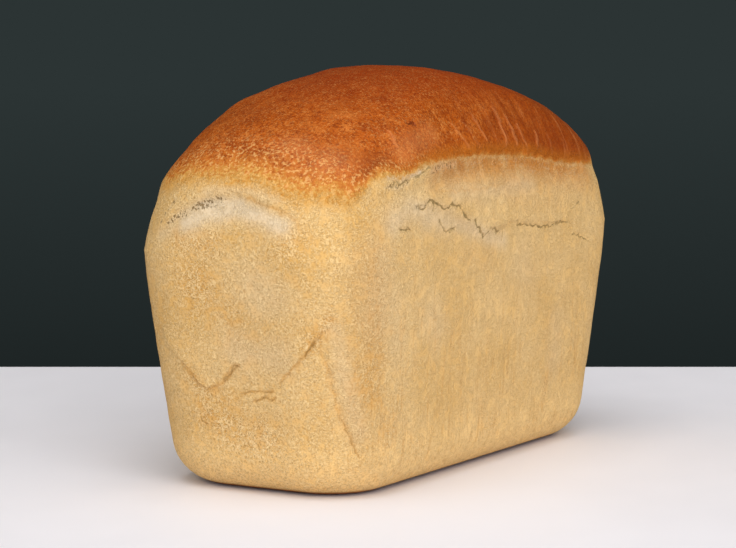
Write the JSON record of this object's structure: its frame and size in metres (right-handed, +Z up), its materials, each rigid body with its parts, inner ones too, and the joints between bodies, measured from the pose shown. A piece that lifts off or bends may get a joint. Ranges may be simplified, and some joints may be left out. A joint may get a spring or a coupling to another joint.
{
  "type": "tin loaf",
  "caption": "Uncut tin loaf with tapering walls, a domed crown risen above the tin's rim, a torn break line and folded ends.",
  "frame": {"origin": "on the surface the loaf stands on, under the middle of its box", "axes": "+X along the loaf's length, +Y across it, +Z up; the pictured end faces -X and the pictured long side faces -Y"},
  "size_m": [0.2514, 0.1122, 0.169],
  "materials": {
    "crust": "baked bread crust, matt pale gold on the walls, chestnut brown with a soft sheen on the crown"
  },
  "bodies": {
    "root": {"loaf": "crust"}
  },
  "joints": []
}
